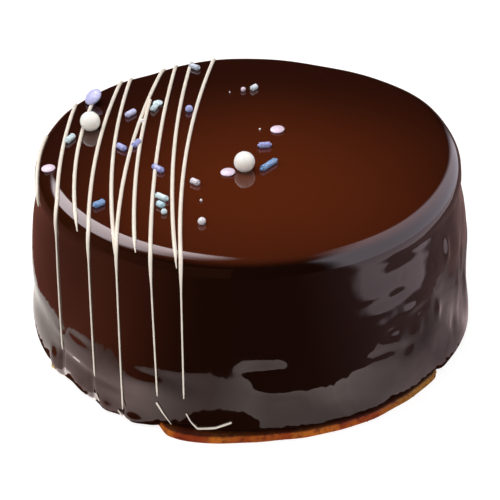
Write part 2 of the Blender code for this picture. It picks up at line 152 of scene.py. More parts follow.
# %% Small features that only the fine skin shows
# azimuth, height, half-width round, half-height and rise, as above; the first three are grooves under threads
FINE_SWELLS = [
    (-146, 9, 1.0, 5, -0.7), (-133.5, 6.5, 1.0, 4, -0.7), (-123.5, 4.5, 0.9, 3, -0.6),
    (-150, 8.2, 1.5, 1.4, 0.35), (-139.5, 6.0, 4.4, 1.4, 0.4), (-129, 4.4, 3.0, 1.3, 0.6),
    (-121, 3.2, 3.2, 1.2, 0.5),
    (-141, 12.5, 7, 1.2, -0.25), (-127, 9.5, 6, 1.2, 0.2), (-146, 19, 4, 1.6, 0.2),
    (-137, 22.5, 5, 1.8, -0.25),
    (-117, 21, 5, 2.0, -0.25), (-109, 25, 5, 2.2, 0.22),
    (-87, 27, 7, 2.6, -0.38), (-87, 19, 8, 2.8, 0.18),  # the dark lens under a bright arc
    (-143, 3, 6, 3, -0.8), (-80, 6, 5, 2.5, 0.20), (-68, 8, 7, 3, -0.20), (-58, 24, 5, 1.8, -0.30),
    (-63, 22, 4, 1.5, 0.25),
    (-52, 27, 2.2, 3.2, 0.40), (-49, 21.5, 2.6, 2.6, -0.50), (-45.5, 27, 2.2, 3.6, 0.45),
    (-48, 35.5, 3.0, 1.4, 0.30),
    (-54, 31, 3.0, 1.6, -0.30), (-44, 33, 4, 1.6, -0.30), (-36, 28, 1.6, 3.6, 0.55),
    (-30.5, 45.5, 1.5, 4.2, 0.60),
    (-52, 51.8, 12, 3.2, -0.36), (-42.5, 55.5, 3, 1.0, -0.15), (-50, 48, 1.0, 0.7, -0.15),
    (-37.5, 44.5, 0.9, 1.1, -0.20),
    (-58, 40, 6, 1.8, 0.22), (-52, 43, 4, 1.5, -0.22), (-60, 46, 5, 1.6, 0.20),
    (-24, 24, 1.8, 6, 0.55), (-19, 34, 1.6, 7, -0.55), (-13, 18, 2.0, 6, 0.50), (-27, 14, 2.4, 4, -0.45),
    (-59, 4.2, 2.6, 1.6, 0.35), (-66, 4.0, 2.2, 1.4, 0.25), (-74, 3.8, 3.0, 1.4, 0.25),
    (-52, 4.0, 3.0, 1.5, -0.2),
]
print(len(FINE_SWELLS), "small lumps, dents and grooves")

# %% [markdown]
# ## Helpers for meshes, materials and Geometry Nodes
# A finished piece is a plain mesh at the origin. A Geometry Nodes tree is built by a short script, its sizes
# are named inputs, and its result is baked into a plain mesh at once, so that the piece is the same in every
# program.

# %% Objects and meshes
scene = bpy.context.scene


def add_object(name, data):
    made = bpy.data.objects.new(name, data)
    scene.collection.objects.link(made)
    return made


def add_mesh(name, points, faces=(), edges=(), smooth_faces=True):
    """A mesh object from points in millimetres."""
    mesh = bpy.data.meshes.new(name)
    mesh.from_pydata((np.asarray(points, float) * MM).tolist(), edges, faces)
    mesh.update()
    if smooth_faces and faces:
        mesh.shade_smooth()
    return add_object(name, mesh)


def from_bmesh(name, shape):
    """An object from a bmesh, which is freed."""
    mesh = bpy.data.meshes.new(name)
    shape.to_mesh(mesh)
    shape.free()
    return add_object(name, mesh)


def store(thing, name, values, kind="FLOAT"):
    """Keeps one value for each point, or a colour of four numbers."""
    layer = thing.data.attributes.new(name, kind, "POINT")
    key = {"FLOAT": "value", "FLOAT_VECTOR": "vector", "FLOAT_COLOR": "color"}[kind]
    layer.data.foreach_set(key, np.asarray(values, np.float32).ravel())


def ring_points(radius, azimuths, height):
    """Points round the middle, from their radii, azimuths in degrees and heights."""
    a = np.radians(azimuths)
    return np.stack([radius * np.cos(a), radius * np.sin(a), np.broadcast_to(height, a.shape)], axis=1)


def strips(rows, columns, closed):
    """Four-sided faces between rows of points. A closed row also joins its last point to its first."""
    faces = []
    for first in range(0, (rows - 1) * columns, columns):
        for i in range(columns if closed else columns - 1):
            k = (i + 1) % columns
            faces.append((first + i, first + k, first + columns + k, first + columns + i))
    return faces


def lathe_faces(rows, around):
    """Faces of a turned form, whose last two points are the middles of its top and of its underside."""
    faces = [(a, d, c, b) for a, b, c, d in strips(rows, around, closed=True)]
    last, top_middle = (rows - 1) * around, rows * around
    for j in range(around):
        k = (j + 1) % around
        faces += [(top_middle, j, k), (last + j, top_middle + 1, last + k)]
    return faces


# %% Node helper
class Nodes:
    """Short calls that work in a material's tree and in a Geometry Nodes tree."""

    def __init__(self, tree):
        self.tree = tree

    def node(self, kind, **settings):
        made = self.tree.nodes.new(kind)
        for key, value in settings.items():
            setattr(made, key, value)
        return made

    def put(self, value, socket):
        """Links a socket, or sets a plain value."""
        if hasattr(value, "is_output"):
            self.tree.links.new(value, socket)
        else:
            socket.default_value = value

    def math(self, operation, first, second):
        made = self.node("ShaderNodeMath", operation=operation)
        self.put(first, made.inputs[0])
        self.put(second, made.inputs[1])
        return made.outputs[0]


# %% Geometry Nodes helper
class Tree(Nodes):
    """A Geometry Nodes tree with named inputs, which is run once on an object."""

    def __init__(self, name):
        super().__init__(bpy.data.node_groups.new(name, "GeometryNodeTree"))
        for way in ("INPUT", "OUTPUT"):
            self.tree.interface.new_socket("Geometry", in_out=way, socket_type="NodeSocketGeometry")
        self.start = self.node("NodeGroupInput")
        self.end = self.node("NodeGroupOutput")
        self.values = {}

    def size(self, name, value, kind="NodeSocketFloat"):
        """A named input of the tree; its value goes in by the socket's identifier."""
        socket = self.tree.interface.new_socket(name, in_out="INPUT", socket_type=kind)
        self.values[socket.identifier] = value
        return self.start.outputs[name]

    def scaled(self, vector, factor):
        made = self.node("ShaderNodeVectorMath", operation="SCALE")
        self.put(vector, made.inputs[0])
        self.put(factor, made.inputs["Scale"])
        return made.outputs[0]

    def attribute(self, name, kind="FLOAT"):
        made = self.node("GeometryNodeInputNamedAttribute", data_type=kind)
        made.inputs["Name"].default_value = name
        return made.outputs["Attribute"]

    def position(self, size):
        """Where a point lies, counted in steps of this size."""
        return self.scaled(self.node("GeometryNodeInputPosition").outputs[0], self.math("DIVIDE", 1.0, size))

    def noise(self, size, seed, detail=2.0):
        """Smooth noise between -1 and 1, with waves of about this size."""
        grain = self.node("ShaderNodeTexNoise", noise_dimensions="4D")
        self.put(self.position(size), grain.inputs["Vector"])
        self.put(seed, grain.inputs["W"])
        grain.inputs["Scale"].default_value = 1.0
        grain.inputs["Detail"].default_value = detail
        return self.math("MULTIPLY", self.math("SUBTRACT", grain.outputs[0], 0.5), 2.0)

    def push(self, geometry, distance):
        """Moves the surface outwards along its normal."""
        move = self.node("GeometryNodeSetPosition")
        self.put(geometry, move.inputs["Geometry"])
        normal = self.node("GeometryNodeInputNormal").outputs[0]
        self.put(self.scaled(normal, distance), move.inputs["Offset"])
        return move.outputs[0]

    def finish(self, geometry, material):
        """Ends the tree in Realize Instances and Set Material."""
        real = self.node("GeometryNodeRealizeInstances")
        paint = self.node("GeometryNodeSetMaterial")
        paint.inputs["Material"].default_value = material
        self.put(geometry, real.inputs[0])
        self.put(real.outputs[0], paint.inputs["Geometry"])
        self.put(paint.outputs[0], self.end.inputs[0])

    def run(self, thing, name):
        """Runs the tree on an object and leaves a plain mesh under the new name."""
        modifier = thing.modifiers.new(self.tree.name, "NODES")
        modifier.node_group = self.tree
        for identifier, value in self.values.items():
            modifier[identifier] = value
        thing.update_tag()
        bpy.context.view_layer.update()
        shown = thing.evaluated_get(bpy.context.evaluated_depsgraph_get())
        mesh = bpy.data.meshes.new_from_object(shown)
        thing.modifiers.remove(modifier)
        bpy.data.objects.remove(thing)
        mesh.name = name
        mesh.shade_smooth()
        mesh.calc_loop_triangles()
        print(name, "has", len(mesh.loop_triangles), "triangles")
        return add_object(name, mesh)


# %% Material helper
class Finish(Nodes):
    """A node material, with short calls for the nodes used most."""

    def __init__(self, name, roughness, ior=1.5):
        self.material = bpy.data.materials.new(name)
        self.material.use_nodes = True
        super().__init__(self.material.node_tree)
        self.shader = self.tree.nodes["Principled BSDF"]
        self.place = self.node("ShaderNodeTexCoord").outputs["Object"]
        self.shade({"Roughness": roughness, "IOR": ior})
        print("finish:", name)

    def shade(self, settings):
        """Sets the shader's own sockets by name."""
        for name, value in settings.items():
            self.put(value, self.shader.inputs[name])

    def noise(self, size, detail=3.0, stretch=(1, 1, 1)):
        """Noise with waves of about this size in millimetres."""
        mapping = self.node("ShaderNodeMapping")
        mapping.inputs["Scale"].default_value = stretch
        grain = self.node("ShaderNodeTexNoise")
        grain.inputs["Scale"].default_value = 1 / (size * MM)
        grain.inputs["Detail"].default_value = detail
        self.put(self.place, mapping.inputs["Vector"])
        self.put(mapping.outputs[0], grain.inputs["Vector"])
        return grain.outputs[0]

    def measured(self, operation, vector):
        made = self.node("ShaderNodeVectorMath", operation=operation)
        self.put(self.place, made.inputs[0])
        self.put(vector, made.inputs[1])
        return made.outputs["Value"]

    def along(self, direction):
        """How far a point lies along a direction, in metres."""
        return self.measured("DOT_PRODUCT", direction)

    def distance(self, place):
        """How far a point is from a place, in metres."""
        return self.measured("DISTANCE", place)

    def spread(self, value, low, high, to_low=0.0, to_high=1.0):
        """Maps low..high softly to another range."""
        made = self.node("ShaderNodeMapRange", interpolation_type="SMOOTHSTEP")
        for socket, number in zip(made.inputs, (value, low, high, to_low, to_high)):
            self.put(number, socket)
        return made.outputs[0]

    def mix(self, factor, first, second):
        """Blends two colours."""
        made = self.node("ShaderNodeMix", data_type="RGBA")
        self.put(factor, made.inputs["Factor"])
        for value, socket in ((first, made.inputs[6]), (second, made.inputs[7])):
            self.put((*value, 1) if isinstance(value, tuple) else value, socket)
        return made.outputs[2]

    def bump(self, height, depth):
        """Fine relief of this depth in millimetres."""
        made = self.node("ShaderNodeBump")
        made.inputs["Distance"].default_value = depth * MM
        self.put(height, made.inputs["Height"])
        self.shade({"Normal": made.outputs[0]})

    def colour(self, value):
        self.shade({"Base Color": value})

    def roughness(self, noise, low, high):
        """Lets noise move the roughness between two values."""
        self.shade({"Roughness": self.spread(noise, 0.3, 0.7, low, high)})


def finish_piece(piece, node):
    """Hangs a finished piece on the body it rides on and hides the solid it stands for."""
    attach(piece, "root")
    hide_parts(node)


# %% [markdown]
# ## The mirror glaze, as a material
# Mirror glaze is nearly black chocolate under a skin as smooth as glass. Seen from above it glows brown,
# because light sinks a little way in, while on the steep wall it stays almost black and mirrors the room. The
# base colour paints this in as light and shade: brown on the lit top, brightest near one spot and darker away
# from it, and near black on the shaded wall, warmer on the left where the left lamp falls. The roughness is
# low but not even: a glaze always has a faint grain.

# %% Chocolate glaze
TOP_BROWN_PAINTED_LIGHT, TOP_BROWN_PAINTED_SHADE = (0.084, 0.0153, 0.0044), (0.021, 0.0048, 0.0026)
WALL_DARK_PAINTED_SHADE, WALL_WARM_PAINTED_LIGHT = (0.0078, 0.0023, 0.0011), (0.0220, 0.0051, 0.0018)
PAINTED_LIGHT_SPOT = (4 * MM, -27 * MM, CAKE_HEIGHT * MM)  # the top darkens away from this spot

glaze = Finish("chocolate mirror glaze", 0.05)
cloud = glaze.noise(38, detail=2.0)
# Painted light on the top: its brown is brightest near one spot and darker away from it, where less light
# falls.
away = glaze.math("ADD", glaze.distance(PAINTED_LIGHT_SPOT), glaze.math("MULTIPLY", cloud, 12 * MM))
top_painted_light_and_shade = glaze.mix(glaze.spread(away, 16 * MM, 94 * MM), TOP_BROWN_PAINTED_LIGHT, TOP_BROWN_PAINTED_SHADE)
# Painted light and shade on the wall: nearly black where it lies in shade, warmer towards the left, where the
# left lamp lights it.
leftwards = glaze.math("ADD", glaze.along((-1, 0, 0)), glaze.math("MULTIPLY", cloud, 30 * MM))
wall_painted_light_and_shade = glaze.mix(glaze.spread(leftwards, 35 * MM, 80 * MM), WALL_DARK_PAINTED_SHADE, WALL_WARM_PAINTED_LIGHT)
# Painted light and shade: the one glaze is brown on the lit top and near black on the shaded wall.
upper = glaze.spread(glaze.along((0, 0, 1)), 62.0 * MM, 63.9 * MM)
glaze.colour(glaze.mix(upper, wall_painted_light_and_shade, top_painted_light_and_shade))
glaze.roughness(glaze.noise(9, detail=4.0), 0.035, 0.075)
glaze.bump(glaze.noise(3.2, detail=1.0), 0.004)
print("glaze: brown on top, nearly black on the wall")

# %% [markdown]
# ## The glazed body
# The plain form could be turned on a lathe, but here each ring also follows the cake's own unevenness, so the
# rings are computed with numpy and joined into one closed skin. Geometry Nodes then adds what the glaze does
# by itself as it sets: faint waves all over the wall, and pits and lumps where it ran thick at the far right
# and at the back.

# %% Rings of the body
AROUND = 600
EDGE_ROWS, WALL_ROWS = 20, 72
TUCK = LIP_HEIGHT - LIP_TUCK / 3
ABOVE_LIP = LIP_HEIGHT + 0.9
SEAT_TOP = BISCUIT_THICKNESS + GAP
SKIN_INSET = 0.06  # keeps the pushed skin inside the solid's box
TOP_RINGS, EVEN_RADIUS = (4, 14, 26, 38, 49, 58, 62.5), 60
LIP = [(-0.05, 3.8), (-0.2, 3.35), (-0.5, 2.95), (-0.95, 2.65), (-1.5, 2.48)]  # how far out, and height

azimuths = np.arange(AROUND) * 360 / AROUND
rim = bare_rim(azimuths)
points, heights = [], []


def skin_radius(height):
    return side_radius(azimuths, np.float64(height)) + relief(azimuths, height, FINE_SWELLS)


def add_ring(radius, height, keep=None):
    """Adds one ring of the body; the foot of the glaze runs down wherever the biscuit isn't bare."""
    fall = (1 - rim) * (LIP_HEIGHT - SKIRT_BOTTOM) * smooth(1 - (height - LIP_HEIGHT) / SKIRT_FADE)
    points.append(ring_points(radius - SKIN_INSET, azimuths, height - fall if keep is None else keep))
    heights.append(np.full(AROUND, height))


for radius in TOP_RINGS:
    add_ring(radius + out_of_round(azimuths) * smooth(radius / EVEN_RADIUS), CAKE_HEIGHT)
for turn in np.linspace(0, 1, EDGE_ROWS) * math.pi / 2:
    height = CAKE_HEIGHT - EDGE_ROUND + EDGE_ROUND * math.cos(turn) ** (2 / EDGE_POWER)
    add_ring(skin_radius(height), height)
for height in np.linspace(CAKE_HEIGHT - EDGE_ROUND, ABOVE_LIP, WALL_ROWS)[1:]:
    add_ring(skin_radius(height), height)
foot = skin_radius(ABOVE_LIP)
for outward, height in LIP:
    add_ring(foot + outward, height)
seat_edge = np.minimum(BISCUIT_RADIUS + GAP + 0.35, foot - 1.55)
add_ring(seat_edge, TUCK)
add_ring(seat_edge - 0.05, TUCK, keep=SEAT_TOP)
for ring in points[-len(LIP) - 2:]:
    ring[:, 2] = np.where(rim > 0.5, np.maximum(ring[:, 2], SEAT_TOP), ring[:, 2])

body_points = np.concatenate(points + [np.array([[0, 0, CAKE_HEIGHT], [0, 0, SEAT_TOP]])])
body = add_mesh("body", body_points, lathe_faces(len(points), AROUND))
print("body rings:", len(points), "of", AROUND, "points")

# %% Where the glaze is uneven
height_of = np.concatenate(heights + [np.array([CAKE_HEIGHT, SEAT_TOP])])
azimuth_of = np.degrees(np.arctan2(body_points[:, 1], body_points[:, 0]))
on_wall = smooth((CAKE_HEIGHT - 1 - height_of) / 8) * smooth((body_points[:, 2] - 0.4) / 2.5)
ZONES = ((-8, 46), (0, 30), (90, 75))  # azimuth and half-width of the right side, the far right and the back
right_side, far_right, back_side = [bell(turned(azimuth_of, middle) / half) for middle, half in ZONES]
store(body, "waves", on_wall * (0.22 + 0.78 * np.clip(right_side + 0.6 * back_side, 0, 1)))
store(body, "pits", on_wall * np.clip(far_right + 0.5 * back_side - 0.08, 0, 1))

# %% Waves and pits in the set glaze
setting = Tree("how the glaze sets")
wave_depth = setting.size("Wave depth", 0.26 * MM)
wave_size = setting.size("Wave size", 8 * MM)
pit_depth = setting.size("Pit depth", 0.32 * MM)
pit_size = setting.size("Pit spacing", 11 * MM)
seed = setting.size("Seed", 3.0)
waves = setting.math("MULTIPLY", setting.math("SUBTRACT", setting.noise(wave_size, seed), 0.25), wave_depth)
waves = setting.math("MULTIPLY", waves, setting.attribute("waves"))
surface = setting.push(setting.start.outputs["Geometry"], waves)
cells = setting.node("ShaderNodeTexVoronoi", voronoi_dimensions="4D", feature="SMOOTH_F1")
setting.put(setting.position(pit_size), cells.inputs["Vector"])
setting.put(seed, cells.inputs["W"])
cells.inputs["Scale"].default_value = 1.0
near = setting.math("MAXIMUM", setting.math("SUBTRACT", 0.42, cells.outputs["Distance"]), 0.0)
pits = setting.math("MULTIPLY", setting.math("MULTIPLY", near, -2.4), pit_depth)
surface = setting.push(surface, setting.math("MULTIPLY", pits, setting.attribute("pits")))
setting.finish(surface, glaze.material)
glaze_skin = setting.run(body, "glaze_skin")
finish_piece(glaze_skin, "glazed_cake")

# %% [markdown]
# ## White chocolate threads
# The threads are melted white chocolate, flicked across from a spoon: just over 1 mm thick on the top,
# thinner as they run down, and blunt or drawn to a point where they end. Each one is a path that lies on the
# glaze, and Geometry Nodes sweeps a circle along all of them, with its radius read from the path's points,
# because they are all made the same way.

# %% White chocolate
ivory = Finish("white chocolate", 0.34, ior=1.46)
ivory.colour(ivory.mix(ivory.noise(3.5), (0.75, 0.67, 0.565), (0.83, 0.76, 0.67)))
ivory.roughness(ivory.noise(1.2), 0.28, 0.46)
ivory.bump(ivory.noise(1.1), 0.02)

# %% Paths of the threads
# y and x at the back edge, x half way, x and y at the front edge, the height where it starts behind the cake,
# and x and height where it stops on the wall
THREADS = [
    (13, -69.4, -70.3, -68.8, -22.5, None, None),
    (31, -61.2, -62.5, -61.3, -31, 50, (-62.7, 13)),
    (41, -54.0, -57.3, -54.1, -44, 58, (-53.6, 61.4)),
    (51, -45.8, -50.6, -49.9, -47.5, 36, (-51.1, 11.5)),
    (54, -42.3, -45.1, -41.6, -54.5, 60, (-41.3, 60.5)),
    (62, -30.4, -39.1, -40.7, -55.5, 44, (-42, 4.5)),
    (35, -34.5, -36.7, -34.9, -59.5, None, (-34.6, 62.4)),
    (64, -26.0, -30.2, -30.0, -62, 30, (-30.1, 14)),
    (66, -20.3, -24.7, -22.3, -65.5, 61, (-22.0, 61)),
    (68, -11.9, -20.3, -20.7, -66, 48, (-21.6, 15)),
]
# Ends that curl on the foot of the wall: azimuth and height of each point, and the radius there
CURLS = [
    ([(-113.5, 11), (-112, 7.5), (-110, 3.6)], (0.34, 0.24, 0.14)),
    ([(-106, 9), (-105, 6), (-103.4, 3.6), (-99, 4.6), (-95.3, 7.0)], (0.22, 0.22, 0.36, 0.40, 0.34)),
    ([(-131.8, 4.8), (-130.8, 2.8)], (0.20, 0.26)),
    ([(-124.4, 3.0), (-123.4, 1.6)], (0.20, 0.28)),
]
THREAD_RADIUS, THREAD_THIN, THREAD_TIP = 0.65, 0.27, 0.14  # on the top, on the wall and at an end
THREAD_THINNING = 12.5  # how far below the top a thread has thinned down
TOP_TAPER, WALL_TAPER = 7.0, 2.5
THREAD_LIFT = 0.15
STEP = 0.9


def down_the_wall(start, x_end, height_end):
    """Points from a start on the rounded edge down the wall, at a place across that moves to x_end."""
    sign = 1 if start[1] > 0 else -1
    out = []
    for height in np.linspace(start[2], height_end, max(3, int((start[2] - height_end) / STEP)))[1:]:
        x = start[0] + (x_end - start[0]) * (start[2] - height) / (start[2] - height_end)
        spot = wall_point(math.degrees(math.atan2(start[1], x)), height)
        for _ in range(6):
            y = sign * math.sqrt(max(0.0, spot[0] ** 2 + spot[1] ** 2 - x * x))
            spot = wall_point(math.degrees(math.atan2(y, x)), height)
        out.append(spot)
    return out


def over_the_top(y_back, x_back, x_middle, x_front, y_front):
    """Points of the gentle bow across the top."""
    middle, half = (y_back + y_front) / 2, (y_back - y_front) / 2
    bow = (x_back + x_front) / 2 - x_middle
    stations = np.sin(np.linspace(math.pi / 2, -math.pi / 2, int(2.4 * half / STEP)))
    return [top_point(x_middle + (x_back - x_front) / 2 * s + bow * s * s, middle + half * s)
            for s in stations]


def lifted(point):
    """A point moved off the glaze, upwards on the top and outwards on the wall."""
    flat = np.array([point[0], point[1], 0]) / math.hypot(point[0], point[1])
    wall = float(smooth((CAKE_HEIGHT - point[2]) / EDGE_ROUND))
    return point + (flat * wall + np.array([0, 0, 1]) * (1 - wall)) * THREAD_LIFT


def rounded_ends(points, radii):
    """Closes both ends of a thread with a few shrinking rings."""
    points, radii = list(points), list(radii)
    for end in (0, -1):
        tip, before = points[end], points[1 if end == 0 else -2]
        out = (tip - before) / np.linalg.norm(tip - before)
        for share in (0.5, 0.8, 0.96):
            spot, radius = tip + out * radii[end] * share, radii[end] * math.sqrt(1 - share * share)
            if end == 0:
                points.insert(0, spot)
                radii.insert(0, radius)
            else:
                points.append(spot)
                radii.append(radius)
    return points, radii


def evenly(points, values=None):
    """Points every STEP along a path, their distances from its start, and values read there."""
    points = np.array(points)
    reach = np.concatenate([[0], np.cumsum(np.linalg.norm(np.diff(points, axis=0), axis=1))])
    at = np.linspace(0, reach[-1], max(4, round(reach[-1] / STEP)))
    spots = np.stack([np.interp(at, reach, points[:, k]) for k in range(3)], axis=1)
    return spots, at, None if values is None else np.interp(at, reach, values)


paths = []
for y_back, x_back, x_middle, x_front, y_front, behind, stop in THREADS:
    across = over_the_top(y_back, x_back, x_middle, x_front, y_front)
    before = down_the_wall(across[0], x_back, behind)[::-1] if behind else []
    after = down_the_wall(across[-1], *stop) if stop else []
    path, at, _ = evenly([lifted(p) for p in before + across + after])
    thinned = smooth((CAKE_HEIGHT - path[:, 2]) / THREAD_THINNING)
    radii = THREAD_RADIUS + (THREAD_THIN - THREAD_RADIUS) * thinned
    taper = TOP_TAPER if stop and stop[1] > CAKE_HEIGHT - EDGE_ROUND else WALL_TAPER
    radii = THREAD_TIP + (radii - THREAD_TIP) * smooth(0.15 + 0.85 * (at[-1] - at) / taper)
    paths.append((path, radii))
for stations, widths in CURLS:
    path, widths_on = [], []
    for k, ((a1, h1), (a2, h2)) in enumerate(zip(stations, stations[1:])):
        for t in np.linspace(0, 1, 9)[:-1]:
            path.append(lifted(wall_point(a1 + (a2 - a1) * t, h1 + (h2 - h1) * t)))
            widths_on.append(widths[k] + (widths[k + 1] - widths[k]) * t)
    path.append(lifted(wall_point(*stations[-1])))
    path, at, radii = evenly(path, widths_on + [widths[-1]])
    paths.append((path, radii))
print(len(paths), "threads and curled ends")

# %% Sweep the threads
line_points, line_edges, line_radii = [], [], []
for path, radii in paths:
    path, radii = rounded_ends(path, radii)
    first = len(line_points)
    line_points += path
    line_radii += radii
    line_edges += [(first + i, first + i + 1) for i in range(len(path) - 1)]
lines = add_mesh("thread lines", line_points, edges=line_edges)
store(lines, "thickness", np.array(line_radii) * MM)

sweep = Tree("threads swept along paths")
sides = sweep.size("Sides", 12, "NodeSocketInt")
unevenness = sweep.size("Unevenness", 0.045 * MM)
lump = sweep.size("Lump size", 4 * MM)
seed = sweep.size("Seed", 5.0)
curve = sweep.node("GeometryNodeMeshToCurve")
sweep.put(sweep.start.outputs["Geometry"], curve.inputs[0])
circle = sweep.node("GeometryNodeCurvePrimitiveCircle", mode="RADIUS")
circle.inputs["Radius"].default_value = 1.0
sweep.put(sides, circle.inputs["Resolution"])
tubes = sweep.node("GeometryNodeCurveToMesh")
sweep.put(curve.outputs[0], tubes.inputs["Curve"])
sweep.put(sweep.attribute("thickness"), tubes.inputs["Scale"])
sweep.put(circle.outputs[0], tubes.inputs["Profile Curve"])
tubes.inputs["Fill Caps"].default_value = True
uneven = sweep.math("MULTIPLY", sweep.noise(lump, seed), unevenness)
sweep.finish(sweep.push(tubes.outputs[0], uneven), ivory.material)
white_threads = sweep.run(lines, "white_threads")
finish_piece(white_threads, "glazed_cake")

# %% [markdown]
# ## Sugar sprinkles
# The sprinkles come in four kinds: short rods, flat confetti, small beads and one fat lentil that leans on
# the threads. They lie where they fell, so every place is listed. Geometry Nodes puts one shape of each kind
# on its points, turns and stretches it, and makes each copy slightly uneven, as pressed sugar is. The colour
# travels along as an attribute.

# %% Coloured sugar
sugar = Finish("coloured sugar", 0.32, ior=1.5)
tint = sugar.node("ShaderNodeAttribute", attribute_name="sugar_colour")
frost = sugar.spread(sugar.noise(0.9), 0.35, 0.75, 0.0, 0.35)
sugar.colour(sugar.mix(frost, tint.outputs["Color"], (0.82, 0.86, 0.92)))
sugar.roughness(sugar.noise(0.6), 0.25, 0.5)
sugar.bump(sugar.noise(0.45), 0.06)

# %% Where each sprinkle lies
MINT, AQUA, ICE, LILAC = (0.56, 0.72, 0.78), (0.38, 0.60, 0.70), (0.66, 0.71, 0.80), (0.52, 0.52, 0.80)
GREY_BLUE, GREY = (0.38, 0.44, 0.56), (0.58, 0.54, 0.61)
PERIWINKLE, BLUE = (0.26, 0.29, 0.64), (0.11, 0.26, 0.54)
PINK, PALE_PINK, WHITE = (0.70, 0.54, 0.67), (0.66, 0.53, 0.66), (0.74, 0.72, 0.76)
ROD_RADIUS, ROD_LENGTH = 1.05, 5.0
CONFETTI_THICKNESS = 1.3
# x, y, heading in degrees, length, colour
RODS = [
    (-60.5, 7.0, 64, 5.2, MINT), (-40.8, 24.5, 49, 5.0, LILAC), (-42.5, 0.2, -47, 4.4, PERIWINKLE),
    (-37.6, 2.6, 62, 4.4, PERIWINKLE), (-32.6, 28.5, 70, 4.2, MINT), (-19.0, 60.0, -38, 4.8, GREY_BLUE),
    (-29.6, -14.6, -46, 5.4, PERIWINKLE), (-27.6, -32.9, -40, 5.2, MINT), (-27.8, -37.4, -42, 3.0, AQUA),
    (-47.4, -36.1, 40, 4.4, BLUE), (-17.2, -23.8, -40, 3.6, GREY), (2.8, 42.2, 50, 3.0, ICE),
    (5.8, -0.4, 8, 4.8, PERIWINKLE), (6.9, -13.6, 50, 8.6, BLUE),
]
# x, y, width, colour; the last three beads are specks
CONFETTI = [(-66.0, -12.2, 4.6, PINK), (-31.6, 32.4, 3.6, MINT), (10.4, 11.0, 4.9, PINK),
            (-6.6, -17.4, 4.9, PALE_PINK)]
BEADS = [(-20.3, 26.5, 2.7, PERIWINKLE), (-26.6, -41.6, 2.0, MINT), (-14.6, -48.0, 2.6, WHITE),
         (-1.1, 41.2, 1.8, PINK), (-36.4, 18.8, 1.6, WHITE),
         (-6.0, 39.9, 0.6, GREY), (4.4, 11.8, 0.7, WHITE), (-15.1, -34.6, 0.9, WHITE)]
LENTIL_RADIUS, LENTIL_THICKNESS, LENTIL_LILAC = 3.4, 2.7, (0.42, 0.42, 0.74)


def scattered(name, spots, shape, grain):
    """Puts one shape on every spot, which gives x, y, height above the glaze, turn, stretch and colour."""
    places = add_mesh(name + " spots", [top_point(s[0], s[1]) + np.array([0, 0, s[2]]) for s in spots])
    store(places, "turn", [s[3] for s in spots], "FLOAT_VECTOR")
    store(places, "stretch", [s[4] for s in spots], "FLOAT_VECTOR")
    store(places, "sugar_colour", [(*s[5], 1) for s in spots], "FLOAT_COLOR")
    lay = Tree(name + " on their spots")
    grain_depth = lay.size("Unevenness", grain * MM)
    grain_size = lay.size("Grain", 1.6 * MM)
    seed = lay.size("Seed", 11.0)
    source = lay.node("GeometryNodeObjectInfo", transform_space="ORIGINAL")
    source.inputs["Object"].default_value = shape
    put = lay.node("GeometryNodeInstanceOnPoints")
    lay.put(lay.start.outputs["Geometry"], put.inputs["Points"])
    lay.put(source.outputs["Geometry"], put.inputs["Instance"])
    heading = lay.node("FunctionNodeEulerToRotation")
    lay.put(lay.attribute("turn", "FLOAT_VECTOR"), heading.inputs[0])
    lay.put(heading.outputs[0], put.inputs["Rotation"])
    lay.put(lay.attribute("stretch", "FLOAT_VECTOR"), put.inputs["Scale"])
    real = lay.node("GeometryNodeRealizeInstances")
    lay.put(put.outputs[0], real.inputs[0])
    uneven = lay.math("MULTIPLY", lay.noise(grain_size, seed), grain_depth)
    lay.finish(lay.push(real.outputs[0], uneven), sugar.material)
    piece = lay.run(places, name)
    bpy.data.objects.remove(shape)
    finish_piece(piece, "glazed_cake")


# %% Rods
rod_shape = bmesh.new()
bmesh.ops.create_cone(rod_shape, cap_ends=True, segments=16, radius1=ROD_RADIUS * MM, radius2=ROD_RADIUS * MM,
                      depth=ROD_LENGTH * MM, matrix=Matrix.Rotation(math.radians(90), 4, "Y"))
rims = [e for e in rod_shape.edges if abs(e.verts[0].co.x - e.verts[1].co.x) < 0.5 * MM]
bmesh.ops.bevel(rod_shape, geom=rims, offset=0.6 * MM, segments=4, affect="EDGES")
along = [e for e in rod_shape.edges if abs(e.verts[0].co.x - e.verts[1].co.x) > 2 * MM]
bmesh.ops.subdivide_edges(rod_shape, edges=along, cuts=5)
spots = [(x, y, 0.75 * ROD_RADIUS, (0, 0, math.radians(heading)), (length / ROD_LENGTH, 1, 1), colour)
         for x, y, heading, length, colour in RODS]
scattered("sugar_rods", spots, from_bmesh("rod", rod_shape), 0.12)


# %% Confetti, beads and the lentil
def flat_ball(name, subdivisions=4):
    """A ball of radius 1 mm, which is stretched into a confetti disc, a bead or the lentil."""
    shape = bmesh.new()
    bmesh.ops.create_icosphere(shape, subdivisions=subdivisions, radius=1 * MM)
    return from_bmesh(name, shape)


spots = [(x, y, 0.35 * CONFETTI_THICKNESS, (0.04, -0.05, 0), (width / 2, width / 2, CONFETTI_THICKNESS / 2),
          colour) for x, y, width, colour in CONFETTI]
scattered("sugar_confetti", spots, flat_ball("disc"), 0.05)

spots = [(x, y, 0.35 * width, (0.3, 0.2, 0.9), (width / 2 * 1.08, width / 2 * 0.95, width / 2), colour)
         for x, y, width, colour in BEADS]
scattered("sugar_beads", spots, flat_ball("bead"), 0.16)

lean = (math.radians(36), 0, math.radians(-59))
size = (LENTIL_RADIUS, LENTIL_RADIUS, LENTIL_THICKNESS / 2)
spots = [(-54.6, 34.2, 0.72 * LENTIL_RADIUS, lean, size, LENTIL_LILAC)]
scattered("sugar_lentil", spots, flat_ball("lentil", 5), 0.06)

# %% [markdown]
# ## Sugar pearls
# Each pearl is a sugar ball coated with shellac and a little pearl dust, 7 mm across, and pressed gently into
# the soft glaze. It isn't a perfect sphere: a polished sugar ball keeps a few shallow flats. So a fine ball
# is pushed by noise, and the finish is a warm white with a soft gloss and a faint mottling.

